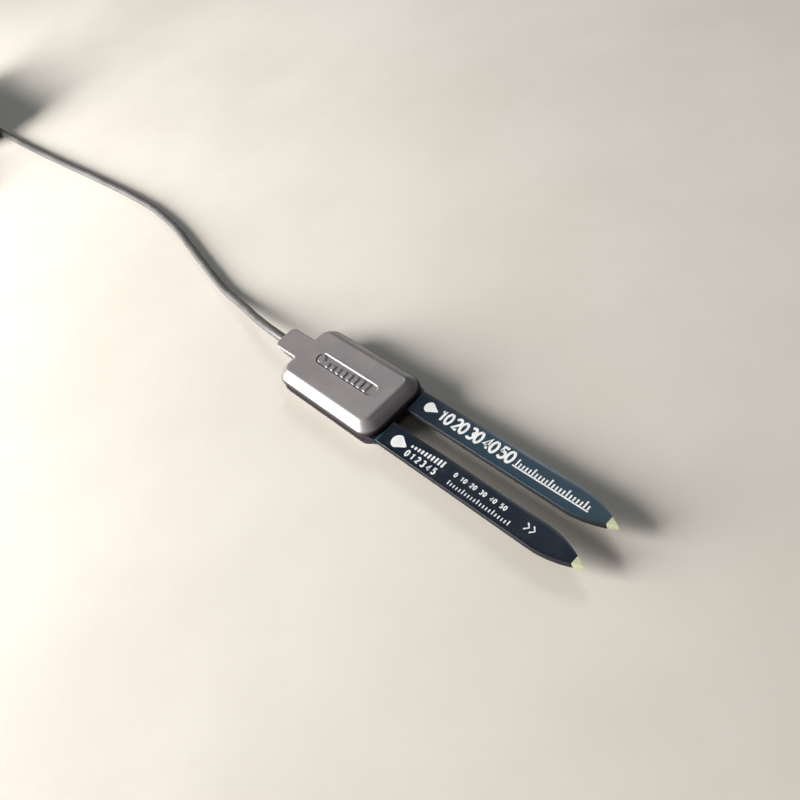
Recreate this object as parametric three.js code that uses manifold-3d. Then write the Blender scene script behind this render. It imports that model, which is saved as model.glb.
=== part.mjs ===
// Two-prong soil moisture sensor with its cable and stereo plug. Millimetres, +Z up.
// The fork-shaped circuit board is clamped between two moulded half shells.
// Inside the design frame x = 0 is the front rim of the shells, the prongs point along +X,
// and z = 0 is the middle of the board. The last lines move all of it to the part's origin.
import * as THREE from 'three';
import { ConvexGeometry } from 'three/addons/geometries/ConvexGeometry.js';
import { mergeVertices } from 'three/addons/utils/BufferGeometryUtils.js';
import Module from 'manifold-3d';

const wasm = await Module();
wasm.setup();

// Shells
const SHELL_LENGTH = 33.0;
const SHELL_HALF_WIDTH = 8.55;
const SHELL_HALF_HEIGHT = 3.5;
const RIM_HEIGHT = 1.6;            // the upright rim ends here and the bevel begins
const RIM_RADIUS = 3.9;
const FACE_HALF_WIDTH = 6.45;      // flat top and bottom faces
const FACE_FRONT_SETBACK = 2.95;
const FACE_REAR_SETBACK = 2.2;
const FACE_RADIUS = 1.7;
const WALL = 0.9;
const CAVITY_HEIGHT = 2.6;

// Neck that holds the cable
const NECK_END = 39.0;             // distance behind the front rim
const NECK_HALF_WIDTH = 3.1;
const NECK_SPLIT_HALF_WIDTH = 2.55;
const NECK_RADIUS = 1.4;
const NECK_BOTTOM = 1.6;

// Board and prongs
const BOARD_HALF = 0.8;
const BOARD_INSET = 0.35;          // board edge stands back from the shell rims
const PRONG_CENTRE = 4.56;
const PRONG_HALF_WIDTH = 2.65;
const PRONG_TIP = 50.5;
const POINT_START = 40.5;
const POINT_POWER = 1.9;
const ROOT_FILLET = 0.7;

// Locating pegs on the lower shell
const PEG_RADIUS = 0.7;
const PEG_CLEARANCE = 0.3;
const PEG_TOP = 2.1;
const BOSS_RADIUS = 1.8;
const PEG_PLACES = [[-4.6, 0], [-28.4, -5.3], [-28.4, 5.3]];

// Cable
const CABLE_RADIUS = 1.1;
const CABLE_HEIGHT = 1.4;          // cable axis in the neck, above the middle of the board
const GAP = 0.3;
const FLOOR = -SHELL_HALF_HEIGHT;
const LYING = FLOOR + CABLE_RADIUS;

// Stored hank: turns with straight runs along X and round ends
const HANK_END = [-265.4, -3.4];   // centre of the round end nearest to the sensor
const HANK_RUN = 43.0;             // length of the straight runs
const HANK_INNER = 6.7;            // centreline radius of the innermost turn's ends
const HANK_OUTER = 13.45;          // centreline radius of the outermost turn's ends
const HANK_LAYERS = 8;
const HANK_PITCH = 2.25;
const HANK_BOTTOM = FLOOR + 0.8;   // the tie passes under the hank
const HANK_TOP = HANK_BOTTOM + HANK_PITCH * HANK_LAYERS;
const TAIL_RADIUS = HANK_OUTER + 2 * CABLE_RADIUS + 0.3;
const TIE_WIDTH = 4.5;
const TIE_THICKNESS = 0.5;
const TIE_GAP = 0.4;

// Plug: stations along its axis, measured from the cable end of the boot
const PLUG_START = -261.4;
const HANDLE_RADIUS = 4.3;
const PLUG_HEIGHT = FLOOR + HANDLE_RADIUS;
const CONTACT_RADIUS = 1.75;

const CORNER_STEPS = 5;
const COLOURS = {
  shell: 0x8b8688, board: 0x1b2434, potting: 0x17181a, cable: 0x7c7c80, tie: 0x16171a,
  chip: 0x1c1c1e, ceramic: 0xa89a84, resistor: 0x23232a, capacitor: 0xb08a5c, tantalum: 0xc79a3a,
  steel: 0xc8c8c4, solder: 0xb9bbbd, red: 0xb3241d, white: 0xe4e2dc, tinned: 0xb6b2a8,
  handle: 0x1a1b1d, contact: 0xcfcac0, insulator: 0x121212,
};

const object = new THREE.Group();

function add(name, geometry, color, roughness = 0.5, metalness = 0) {
  const mesh = new THREE.Mesh(geometry, new THREE.MeshStandardMaterial({ color, roughness, metalness }));
  mesh.name = name;
  object.add(mesh);
  return mesh;
}

// Ring of points round a rectangle with rounded corners, centred on y = 0, at one height.
function ring(x0, x1, halfWidth, radius, z) {
  const points = [];
  const corners = [[x1, halfWidth, 0], [x0, halfWidth, 1], [x0, -halfWidth, 2], [x1, -halfWidth, 3]];
  for (const [x, y, quarter] of corners) {
    const cx = x - Math.sign(x - (x0 + x1) / 2) * radius;
    const cy = y - Math.sign(y) * radius;
    for (let i = 0; i <= CORNER_STEPS; i += 1) {
      const angle = (quarter + i / CORNER_STEPS) * Math.PI / 2;
      points.push(new THREE.Vector3(cx + radius * Math.cos(angle), cy + radius * Math.sin(angle), z));
    }
  }
  return points;
}

function hull(...rings) {
  return new ConvexGeometry(rings.flat());
}

function solidOf(geometry) {
  const bare = geometry.clone();
  bare.deleteAttribute('normal');
  bare.deleteAttribute('uv');
  const merged = mergeVertices(bare, 1e-4);
  const mesh = new wasm.Mesh({
    numProp: 3,
    vertProperties: Float32Array.from(merged.attributes.position.array),
    triVerts: Uint32Array.from(merged.index.array),
  });
  mesh.merge();
  return new wasm.Manifold(mesh);
}

function geometryOf(solid) {
  const mesh = solid.getMesh();
  const geometry = new THREE.BufferGeometry();
  geometry.setAttribute('position', new THREE.BufferAttribute(mesh.vertProperties, 3));
  geometry.setIndex(new THREE.BufferAttribute(mesh.triVerts, 1));
  geometry.computeVertexNormals();
  return geometry;
}

function box(x0, x1, y0, y1, z0, z1) {
  const geometry = new THREE.BoxGeometry(x1 - x0, y1 - y0, z1 - z0);
  geometry.translate((x0 + x1) / 2, (y0 + y1) / 2, (z0 + z1) / 2);
  return geometry;
}

function post(x, y, radius, z0, z1, segments = 16) {
  const geometry = new THREE.CylinderGeometry(radius, radius, z1 - z0, segments);
  geometry.rotateX(Math.PI / 2);
  geometry.translate(x, y, (z0 + z1) / 2);
  return geometry;
}

// Round tube along a smooth curve through the points.
function tube(points, radius, steps, sides = 8) {
  const curve = new THREE.CatmullRomCurve3(points.map((p) => new THREE.Vector3(...p)), false, 'centripetal');
  const section = new THREE.Shape();
  for (let i = 0; i < sides; i += 1) {
    const angle = (i + 0.5) * 2 * Math.PI / sides;
    section[i === 0 ? 'moveTo' : 'lineTo'](radius * Math.cos(angle), radius * Math.sin(angle));
  }
  section.closePath();
  return new THREE.ExtrudeGeometry(section, { steps, bevelEnabled: false, extrudePath: curve });
}

// Turned piece whose axis lies along +X: the profile holds [distance along the axis, radius].
function turnedAlongX(profile, x, y, z, segments = 20) {
  const points = profile.map(([along, radius]) => new THREE.Vector2(radius, along));
  const geometry = new THREE.LatheGeometry(points, segments);
  geometry.rotateZ(-Math.PI / 2);
  geometry.translate(x, y, z);
  return geometry;
}

// ---- Shells -----------------------------------------------------------------------------------
// One half of the housing, from the board's face at |z| = BOARD_HALF out to the flat face.
function halfShellBlock(side, inset, faceHeight, faceInset) {
  const rim = (z) => ring(-SHELL_LENGTH + inset, -inset, SHELL_HALF_WIDTH - inset, RIM_RADIUS - inset, z);
  const face = ring(
    -SHELL_LENGTH + FACE_REAR_SETBACK + faceInset,
    -FACE_FRONT_SETBACK - faceInset,
    FACE_HALF_WIDTH - faceInset,
    FACE_RADIUS,
    side * faceHeight,
  );
  const open = inset > 0 ? 0 : BOARD_HALF;
  return solidOf(hull(rim(side * open), rim(side * (RIM_HEIGHT - inset / 3)), face));
}

function neckBlock(levels) {
  return solidOf(hull(...levels.map(([x1, end, halfWidth, z]) => ring(-end, x1, halfWidth, NECK_RADIUS, z))));
}

function makeShells() {
  const channel = new THREE.CylinderGeometry(CABLE_RADIUS + GAP, CABLE_RADIUS + GAP, 8.5, 20);
  channel.rotateZ(Math.PI / 2);
  channel.translate(-NECK_END + 3.25, 0, CABLE_HEIGHT);
  const cut = solidOf(channel);

  const upperNeck = neckBlock([
    [-28, NECK_END, NECK_HALF_WIDTH, SHELL_HALF_HEIGHT],
    [-28, NECK_END - 0.2, NECK_SPLIT_HALF_WIDTH, BOARD_HALF],
  ]);
  let upper = halfShellBlock(1, 0, SHELL_HALF_HEIGHT, 0).add(upperNeck);
  upper = upper.subtract(halfShellBlock(1, WALL, CAVITY_HEIGHT, WALL * 0.6)).subtract(cut);

  const lowerNeck = neckBlock([
    [-SHELL_LENGTH, NECK_END - 0.2, NECK_SPLIT_HALF_WIDTH, BOARD_HALF],
    [-SHELL_LENGTH, NECK_END - 0.5, NECK_SPLIT_HALF_WIDTH - 0.4, -BOARD_HALF],
    [-SHELL_LENGTH, NECK_END - 1.3, NECK_RADIUS + 0.1, -NECK_BOTTOM],
  ]);
  const bridge = solidOf(box(-SHELL_LENGTH - 1.8, -SHELL_LENGTH + 0.4, -1.6, 1.6, -NECK_BOTTOM, -BOARD_HALF));
  let lower = halfShellBlock(-1, 0, SHELL_HALF_HEIGHT, 0).add(lowerNeck).add(bridge);
  lower = lower.subtract(halfShellBlock(-1, WALL, CAVITY_HEIGHT, WALL * 0.6)).subtract(cut);

  for (const [x, y] of PEG_PLACES) {
    upper = upper.add(solidOf(post(x, y, BOSS_RADIUS, BOARD_HALF, CAVITY_HEIGHT + 0.2)));
    upper = upper.subtract(solidOf(post(x, y, PEG_RADIUS + PEG_CLEARANCE, 0, PEG_TOP + PEG_CLEARANCE)));
    lower = lower.add(solidOf(post(x, y, BOSS_RADIUS, -CAVITY_HEIGHT - 0.2, -BOARD_HALF)));
    lower = lower.add(solidOf(post(x, y, PEG_RADIUS, -BOARD_HALF - 0.5, PEG_TOP)));
  }
  add('upper_shell', geometryOf(upper), COLOURS.shell, 0.45);
  add('lower_shell', geometryOf(lower), COLOURS.shell, 0.5);
}

// ---- Board ------------------------------------------------------------------------------------
// Half width of a prong at x: full width, then a pointed arch down to nothing at the tip.
function prongHalfWidth(x) {
  const t = Math.max(0, (x - POINT_START) / (PRONG_TIP - POINT_START));
  return PRONG_HALF_WIDTH * (1 - t ** POINT_POWER);
}

function prongOutline(shape, side) {
  const steps = 10;
  const stations = Array.from({ length: steps }, (_, i) => POINT_START + (PRONG_TIP - POINT_START) * i / steps);
  const centre = side * PRONG_CENTRE;
  for (const x of stations) {
    shape.lineTo(x, centre - prongHalfWidth(x));
  }
  shape.lineTo(PRONG_TIP, centre);
  for (const x of stations.reverse()) {
    shape.lineTo(x, centre + prongHalfWidth(x));
  }
}

function makeBoard() {
  const half = SHELL_HALF_WIDTH - BOARD_INSET;
  const front = -BOARD_INSET;
  const rear = -SHELL_LENGTH + BOARD_INSET;
  const radius = RIM_RADIUS - BOARD_INSET;
  const outer = PRONG_CENTRE + PRONG_HALF_WIDTH;
  const inner = PRONG_CENTRE - PRONG_HALF_WIDTH;
  const shoulder = front - radius * 0.35;
  const shape = new THREE.Shape();
  shape.moveTo(rear + radius, -half);
  shape.lineTo(front - radius, -half);
  shape.quadraticCurveTo(shoulder, -half, front + ROOT_FILLET, -outer);
  prongOutline(shape, -1);
  shape.lineTo(front + ROOT_FILLET, -inner);
  shape.absarc(front + ROOT_FILLET, -inner + ROOT_FILLET, ROOT_FILLET, -Math.PI / 2, -Math.PI, true);
  shape.lineTo(front, inner - ROOT_FILLET);
  shape.absarc(front + ROOT_FILLET, inner - ROOT_FILLET, ROOT_FILLET, Math.PI, Math.PI / 2, true);
  prongOutline(shape, 1);
  shape.lineTo(front + ROOT_FILLET, outer);
  shape.quadraticCurveTo(shoulder, half, front - radius, half);
  shape.lineTo(rear + radius, half);
  shape.absarc(rear + radius, half - radius, radius, Math.PI / 2, Math.PI, false);
  shape.absarc(rear + radius, -half + radius, radius, Math.PI, Math.PI * 1.5, false);
  for (const [x, y] of PEG_PLACES) {
    const hole = new THREE.Path();
    hole.absarc(x, y, PEG_RADIUS + PEG_CLEARANCE, 0, 2 * Math.PI, true);
    shape.holes.push(hole);
  }
  const board = new THREE.ExtrudeGeometry(shape, { depth: 2 * BOARD_HALF, bevelEnabled: false, curveSegments: 6 });
  board.translate(0, 0, -BOARD_HALF);
  add('circuit_board', board, COLOURS.board, 0.35);
}

// ---- Electronics on the top of the board ------------------------------------------------------
const parts = [];

// Keeps the footprint of a component, so that the potting leaves room for it.
function footprint(x, y, length, width, height) {
  parts.push([x - length / 2, x + length / 2, y - width / 2, y + width / 2, height]);
}

function chip(name, x, y, length, width, height, color, roughness = 0.6, metalness = 0) {
  const half = [length / 2, width / 2];
  const top = BOARD_HALF + height;
  const corner = 0.1;
  const block = hull(
    ring(x - half[0], x + half[0], half[1], corner, BOARD_HALF),
    ring(x - half[0], x + half[0], half[1], corner, top - corner),
    ring(x - half[0] + corner, x + half[0] - corner, half[1] - corner, corner, top),
  );
  block.translate(0, y, 0);
  add(name, block, color, roughness, metalness);
  footprint(x, y, length, width, height);
}

// Moulded package with gull-wing leads along its two long sides.
function leadedChip(name, x, y, length, width, height, leadsEachSide, pitch) {
  let body = solidOf(box(x - length / 2, x + length / 2, y - width / 2, y + width / 2,
    BOARD_HALF + 0.1, BOARD_HALF + height));
  const reach = 0.8;
  const leadHalf = 0.15;
  for (let i = 0; i < leadsEachSide; i += 1) {
    const lx = x + (i - (leadsEachSide - 1) / 2) * pitch;
    const foot = box(lx - leadHalf, lx + leadHalf, y - width / 2 - reach, y + width / 2 + reach,
      BOARD_HALF, BOARD_HALF + 0.2);
    const knee = box(lx - leadHalf, lx + leadHalf, y - width / 2 - 0.35, y + width / 2 + 0.35,
      BOARD_HALF + 0.05, BOARD_HALF + height * 0.55);
    body = body.add(solidOf(foot)).add(solidOf(knee));
  }
  add(name, geometryOf(body), COLOURS.chip, 0.6);
  footprint(x, y, length, width + 2 * reach, height);
}

function makeElectronics() {
  leadedChip('voltage_regulator', -23.2, 3.0, 2.9, 1.6, 1.1, 3, 0.95);
  leadedChip('signal_amplifier', -17.4, -2.4, 3.0, 3.0, 1.0, 4, 0.65);
  leadedChip('rectifier_diode', -11.6, -3.9, 1.7, 1.25, 0.9, 1, 1.0);
  chip('oscillator_base', -10.8, 2.6, 5.0, 3.2, 0.6, COLOURS.ceramic);
  const lidBase = BOARD_HALF + 0.6;
  add('oscillator_lid', box(-10.8 - 2.2, -10.8 + 2.2, 2.6 - 1.3, 2.6 + 1.3, lidBase, lidBase + 0.5),
    COLOURS.steel, 0.3, 1);
  parts[parts.length - 1][4] = 1.1;
  chip('tantalum_capacitor', -17.6, 3.6, 3.2, 1.6, 1.2, COLOURS.tantalum);
  const resistorPlaces = [[-13.7, -0.9], [-11.3, -0.9], [-8.9, -0.9], [-21.6, -4.2], [-7.6, -4.2]];
  resistorPlaces.forEach(([x, y], i) => chip(`resistor_${i + 1}`, x, y, 1.6, 0.8, 0.45, COLOURS.resistor));
  const capacitorPlaces = [[-24.4, -0.6], [-21.6, -1.8], [-13.9, -5.0], [-14.2, 5.0]];
  capacitorPlaces.forEach(([x, y], i) => chip(`capacitor_${i + 1}`, x, y, 1.6, 0.8, 0.8, COLOURS.capacitor));
}

// ---- Potting ----------------------------------------------------------------------------------
function makePotting() {
  const clear = WALL + 0.3;
  const rear = 26.4;
  const fill = (side, x0) => solidOf(hull(
    ring(x0, -clear, SHELL_HALF_WIDTH - clear, RIM_RADIUS - clear, side * BOARD_HALF),
    ring(x0, -clear, SHELL_HALF_WIDTH - clear, RIM_RADIUS - clear, side * 1.1),
    ring(x0 + 2, -FACE_FRONT_SETBACK - 1.1, FACE_HALF_WIDTH - 1.1, FACE_RADIUS, side * 2.3),
  ));
  let upper = fill(1, -rear);
  let lower = fill(-1, -SHELL_LENGTH + clear);
  for (const [x, y] of PEG_PLACES) {
    upper = upper.subtract(solidOf(post(x, y, BOSS_RADIUS + GAP, 0, 3)));
    lower = lower.subtract(solidOf(post(x, y, BOSS_RADIUS + GAP, -3, 0)));
  }
  for (const [x0, x1, y0, y1, height] of parts) {
    upper = upper.subtract(solidOf(box(x0 - GAP, x1 + GAP, y0 - GAP, y1 + GAP, 0, BOARD_HALF + height + 0.2)));
  }
  add('upper_potting', geometryOf(upper), COLOURS.potting, 0.3);
  add('lower_potting', geometryOf(lower), COLOURS.potting, 0.3);
}

// ---- Conductors -------------------------------------------------------------------------------
function makeConductors() {
  const radius = 0.32;
  const jacketEnd = -34.6;
  const joint = -28.2;
  const jointRadius = 0.8;
  const conductors = [['power_conductor', -1, COLOURS.white], ['ground_conductor', 0, COLOURS.tinned],
    ['signal_conductor', 1, COLOURS.red]];
  for (const [name, side, color] of conductors) {
    const low = BOARD_HALF + radius + 0.05;
    const near = side * 0.68;
    const wide = side * 2.1;
    add(name, tube([
      [jacketEnd + GAP, near, CABLE_HEIGHT],
      [-33.2, near, CABLE_HEIGHT],
      [-31.8, near + (wide - near) * 0.25, CABLE_HEIGHT - 0.05],
      [-30.6, near + (wide - near) * 0.8, low + 0.1],
      [joint - jointRadius - GAP, wide, low],
    ], radius, 14), color, 0.45);
    const dome = new THREE.LatheGeometry([
      new THREE.Vector2(0, 0),
      new THREE.Vector2(jointRadius, 0),
      new THREE.Vector2(jointRadius * 0.85, 0.22),
      new THREE.Vector2(jointRadius * 0.5, 0.42),
      new THREE.Vector2(0, 0.5),
    ], 12);
    dome.rotateX(Math.PI / 2);
    dome.translate(joint, wide, BOARD_HALF);
    add(name.replace('conductor', 'solder_joint'), dome, COLOURS.solder, 0.3, 1);
  }
}

// ---- Cable ------------------------------------------------------------------------------------
const LEAD_ROUTE = [
  [-34.6, 0, CABLE_HEIGHT],
  [-39.0, 0, CABLE_HEIGHT],
  [-43.0, 0.1, 1.3],
  [-47.5, 0.4, 0.9],
  [-52.0, 0.85, 0.3],
  [-57.0, 1.5, -0.45],
  [-62.5, 2.35, -1.2],
  [-68.0, 3.0, -1.85],
  [-73.8, 3.7, -2.25],
  [-79.0, 4.6, LYING],
  [-84.3, 5.65, LYING],
  [-94.1, 7.7, LYING],
  [-102.0, 9.5, LYING],
  [-110.5, 11.4, LYING],
  [-121.0, 13.1, LYING],
  [-132.5, 14.1, LYING],
  [-144.5, 14.2, LYING],
  [-156.4, 13.9, LYING],
  [-168.1, 13.4, LYING],
  [-180.0, 12.8, LYING],
  [-192.0, 12.1, LYING],
  [-204.0, 11.5, LYING],
  [-216.0, 10.95, LYING],
  [-228.0, 10.5, LYING],
  [-240.0, 10.2, LYING],
  [-248.0, 10.1, LYING],
  [-256.0, HANK_END[1] + HANK_OUTER, LYING + 0.2],
];

// The tail slides down the outside of the hank, from the top layer to the height of the plug:
// round the far end first, and then along the straight run on the plug's side.
function tailRoute() {
  const ends = Math.PI * TAIL_RADIUS;
  const whole = ends + HANK_RUN;
  const top = HANK_TOP - HANK_PITCH / 2;
  const steps = 16;
  const points = [];
  for (let i = 0; i <= steps; i += 1) {
    const gone = whole * i / steps;
    const angle = Math.PI / 2 + Math.min(gone, ends) / TAIL_RADIUS;
    const run = Math.max(0, gone - ends);
    const z = top + (PLUG_HEIGHT - top) * THREE.MathUtils.smoothstep(i / steps, 0, 1);
    points.push([
      HANK_END[0] - HANK_RUN + TAIL_RADIUS * Math.cos(angle) + run,
      HANK_END[1] + TAIL_RADIUS * Math.sin(angle),
      z,
    ]);
  }
  points.push([PLUG_START - GAP, HANK_END[1] - TAIL_RADIUS, PLUG_HEIGHT]);
  return points;
}

// Outline with straight sides and round ends, at one distance from the hank's middle line.
function stadium(target, radius, clockwise) {
  const [x, y] = HANK_END;
  const turn = Math.PI / 2;
  if (clockwise) {
    target.absarc(x, y, radius, turn, -turn, true);
    target.absarc(x - HANK_RUN, y, radius, -turn, -3 * turn, true);
  } else {
    target.absarc(x, y, radius, -turn, turn, false);
    target.absarc(x - HANK_RUN, y, radius, turn, 3 * turn, false);
  }
  return target;
}

function makeCable() {
  add('cable_lead', tube(LEAD_ROUTE, CABLE_RADIUS, 44), COLOURS.cable, 0.5);
  add('cable_tail', tube(tailRoute(), CABLE_RADIUS, 36), COLOURS.cable, 0.5);
  const outline = stadium(new THREE.Shape(), HANK_OUTER + CABLE_RADIUS, false);
  outline.holes.push(stadium(new THREE.Path(), HANK_INNER - CABLE_RADIUS, true));
  const coil = new THREE.ExtrudeGeometry(outline, {
    depth: HANK_TOP - HANK_BOTTOM, bevelEnabled: false, curveSegments: 20,
  });
  coil.translate(0, 0, HANK_BOTTOM);
  add('cable_coil', coil, COLOURS.cable, 0.5);
}

// Closed band round both runs of the hank and the tail beside them.
function makeTie() {
  const x = HANK_END[0] - HANK_RUN / 2;
  const y0 = HANK_END[1] - TAIL_RADIUS - CABLE_RADIUS - TIE_GAP;
  const y1 = HANK_END[1] + HANK_OUTER + CABLE_RADIUS + TIE_GAP;
  const z0 = FLOOR + TIE_THICKNESS;
  const z1 = HANK_TOP + GAP;
  const grow = TIE_THICKNESS;
  const outside = box(x - TIE_WIDTH / 2, x + TIE_WIDTH / 2, y0 - grow, y1 + grow, z0 - grow, z1 + grow);
  const inside = box(x - TIE_WIDTH, x + TIE_WIDTH, y0, y1, z0, z1);
  add('coil_tie', geometryOf(solidOf(outside).subtract(solidOf(inside))), COLOURS.tie, 0.9);
}

// ---- Plug -------------------------------------------------------------------------------------
function makePlug() {
  const y = HANK_END[1] - TAIL_RADIUS;
  const turned = (name, from, profile, color, roughness, metalness) => {
    add(name, turnedAlongX(profile, PLUG_START + from, y, PLUG_HEIGHT), color, roughness, metalness);
  };
  turned('plug_boot', 0, [[0, 0], [0, 1.7], [11, 2.6], [11, 0]], COLOURS.handle, 0.6, 0);
  turned('plug_handle', 11.3, [[0, 0], [0, 3.4], [1.2, 4.0], [4, HANDLE_RADIUS], [14, HANDLE_RADIUS],
    [17.5, 3.9], [18.5, 3.4], [18.5, 0]], COLOURS.handle, 0.5, 0);
  turned('plug_sleeve', 29.8, [[0, 0], [0, 2.9], [0.8, 2.9], [0.8, CONTACT_RADIUS], [7.6, CONTACT_RADIUS],
    [7.6, 0]], COLOURS.contact, 0.25, 1);
  turned('plug_ring_insulator', 37.4, [[0, 0], [0, 1.7], [0.7, 1.7], [0.7, 0]], COLOURS.insulator, 0.5, 0);
  turned('plug_ring', 38.1, [[0, 0], [0, CONTACT_RADIUS], [2.3, CONTACT_RADIUS], [2.3, 0]],
    COLOURS.contact, 0.25, 1);
  turned('plug_tip_insulator', 40.4, [[0, 0], [0, 1.7], [0.7, 1.7], [0.7, 0]], COLOURS.insulator, 0.5, 0);
  turned('plug_tip', 41.1, [[0, 0], [0, 1.3], [0.8, 1.25], [1.6, CONTACT_RADIUS], [2.2, CONTACT_RADIUS],
    [3.6, 0.9], [3.9, 0]], COLOURS.contact, 0.25, 1);
}

makeShells();
makeBoard();
makeElectronics();
makePotting();
makeConductors();
makeCable();
makeTie();
makePlug();

// Origin: middle of the sensor's own box, on the surface that it lies on.
object.position.set(-(PRONG_TIP - NECK_END) / 2, 0, SHELL_HALF_HEIGHT);

export default object;
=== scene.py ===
"""Two-prong soil moisture sensor: moulded grey housing, printed fork board, five metre cable and plug.

Lengths in the functions are design millimetres: x = 0 is the front rim of the housing, the prongs
point along +X and z = 0 is the middle of the board. to_part() turns them into the part's metres.
"""

import math

import bmesh
import bpy
import numpy as np
from mathutils import Matrix, Vector


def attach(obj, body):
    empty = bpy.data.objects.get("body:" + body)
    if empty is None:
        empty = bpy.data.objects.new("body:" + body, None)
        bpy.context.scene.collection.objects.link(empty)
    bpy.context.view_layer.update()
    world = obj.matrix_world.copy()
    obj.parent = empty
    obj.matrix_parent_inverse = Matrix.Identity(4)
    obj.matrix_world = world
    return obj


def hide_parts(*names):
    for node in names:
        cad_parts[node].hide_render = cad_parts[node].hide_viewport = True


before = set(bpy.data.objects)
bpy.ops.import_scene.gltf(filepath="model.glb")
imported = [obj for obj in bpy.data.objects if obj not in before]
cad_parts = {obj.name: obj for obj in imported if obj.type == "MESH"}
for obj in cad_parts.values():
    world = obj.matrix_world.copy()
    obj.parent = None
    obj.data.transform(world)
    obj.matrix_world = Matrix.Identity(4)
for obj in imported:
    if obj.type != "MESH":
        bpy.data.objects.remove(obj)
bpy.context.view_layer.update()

MM = 0.001
ORIGIN = np.array([-5.75, 0.0, 3.5])   # the design frame's zero, seen from the part's origin

# Housing
SHELL_LENGTH = 33.0
SHELL_HALF_WIDTH = 8.55
FACE_SIDE_SETBACK = 2.1
FACE_FRONT_SETBACK = 2.95
FACE_REAR_SETBACK = 2.2
RIM_RADIUS = 3.9
FACE_RADIUS = 1.7
RIM_HEIGHT = 1.6
FACE_HEIGHT = 3.5
WALL = 0.9
CEILING = 2.6
NECK_END = -39.0
NECK_HALF_WIDTH = 3.1
NECK_TAPER = 0.2                       # how much the neck narrows for each millimetre downwards
NECK_RADIUS = 1.4
BORE_RADIUS = 1.4
PEGS = ((-4.6, 0.0), (-28.4, -5.3), (-28.4, 5.3))

# Sunk mark on the housing's face
BADGE_ENDS = (-24.6, -7.9)
BADGE_Y = 0.2
BADGE_HALF_WIDTH = 1.75
BADGE_DEPTH = 0.22

# Board
BOARD_HALF = 0.8
PRONG_CENTRE = 4.56
PRONG_HALF_WIDTH = 2.65
PRONG_TIP = 50.5
POINT_START = 40.5
POINT_POWER = 1.9
MASK_END = 48.6                        # past this the laminate is bare

# Cable, stored hank and plug
CABLE_RADIUS = 1.1
CABLE_HEIGHT = 1.4
LYING = -2.4                           # the cable's middle where it rests on the floor
HANK_END = np.array([-265.4, -3.4])    # middle of the round end nearest to the sensor
HANK_RUN = 43.0                        # length of the straight runs
HANK_INNER = 6.7                       # the innermost and outermost turn's distance from the middle line
HANK_OUTER = 13.45
HANK_WIDE = 4                          # turns side by side
HANK_LAYERS = 8
HANK_PITCH = 2.25
HANK_BOTTOM = -2.7
HANK_TOP = HANK_BOTTOM + HANK_LAYERS * HANK_PITCH
TAIL_RADIUS = HANK_OUTER + 2 * CABLE_RADIUS + 0.3
TIE_WIDTH = 4.4
TIE_THICKNESS = 0.42
TIE_GAP = 0.4                          # room between the strap and the cable at the sides
TIE_RISE = 0.45                        # the same above and below
PLUG_START = -261.4
PLUG_Y = HANK_END[1] - TAIL_RADIUS
PLUG_HEIGHT = 0.8

# Print: flat shapes that stand a little above the board and reach a little into it
INK_HEIGHT = 0.03
INK_ROOT = BOARD_HALF - 0.02

SOIL_DUST = (0.42, 0.32, 0.2, 1)

LEAD_ROUTE = (
    (-34.6, 0, CABLE_HEIGHT), (-39.0, 0, CABLE_HEIGHT), (-43.0, 0.1, 1.3), (-47.5, 0.4, 0.9),
    (-52.0, 0.85, 0.3), (-57.0, 1.5, -0.45), (-62.5, 2.35, -1.2), (-68.0, 3.0, -1.85),
    (-73.8, 3.7, -2.25), (-79.0, 4.6, LYING), (-84.3, 5.65, LYING), (-94.1, 7.7, LYING),
    (-102.0, 9.5, LYING), (-110.5, 11.4, LYING), (-121.0, 13.1, LYING), (-132.5, 14.1, LYING),
    (-144.5, 14.2, LYING), (-156.4, 13.9, LYING), (-168.1, 13.4, LYING), (-180.0, 12.8, LYING),
    (-192.0, 12.1, LYING), (-204.0, 11.5, LYING), (-216.0, 10.95, LYING), (-228.0, 10.5, LYING),
    (-240.0, 10.2, LYING), (-248.0, 10.1, LYING), (-256.0, HANK_END[1] + HANK_OUTER, LYING + 0.2),
)


# ---- Meshes from arrays -------------------------------------------------------------------------
def to_part(points):
    """Design millimetres moved to the part's origin, in metres."""
    return (np.asarray(points, float) + ORIGIN) * MM


def grid_faces(rows, columns, closed_rows=False):
    """Quads between neighbouring points of a grid of closed rings, numbered ring by ring."""
    i = np.arange(rows if closed_rows else rows - 1)[:, None]
    j = np.arange(columns)[None, :]
    down, right = (i + 1) % rows, (j + 1) % columns
    corners = (i * columns + j, i * columns + right, down * columns + right, down * columns + j)
    return np.stack(np.broadcast_arrays(*corners), -1).reshape(-1, 4)


def from_rings(rings, closed_rows=False):
    """(points, faces) of a surface given as an array of rings: rows x points round x 3."""
    rings = np.asarray(rings, float)
    return rings.reshape(-1, 3), grid_faces(*rings.shape[:2], closed_rows)


def joined(*surfaces):
    """Several (points, faces) as one: each one's face numbers start after the points before it."""
    starts = np.cumsum([0] + [len(points) for points, _ in surfaces[:-1]])
    return (
        np.concatenate([points for points, _ in surfaces]),
        np.concatenate([faces + start for (_, faces), start in zip(surfaces, starts)]),
    )


def bare_object(name, surface):
    """Object of a closed surface, with double points merged and faces turned outwards."""
    points, faces = surface
    mesh = bpy.data.meshes.new(name)
    mesh.from_pydata(to_part(points).tolist(), [], faces.tolist())
    work = bmesh.new()
    work.from_mesh(mesh)
    bmesh.ops.remove_doubles(work, verts=work.verts, dist=1.5e-6)
    bmesh.ops.recalc_face_normals(work, faces=work.faces)
    work.to_mesh(mesh)
    work.free()
    piece = bpy.data.objects.new(name, mesh)
    bpy.context.scene.collection.objects.link(piece)
    return piece


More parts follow.
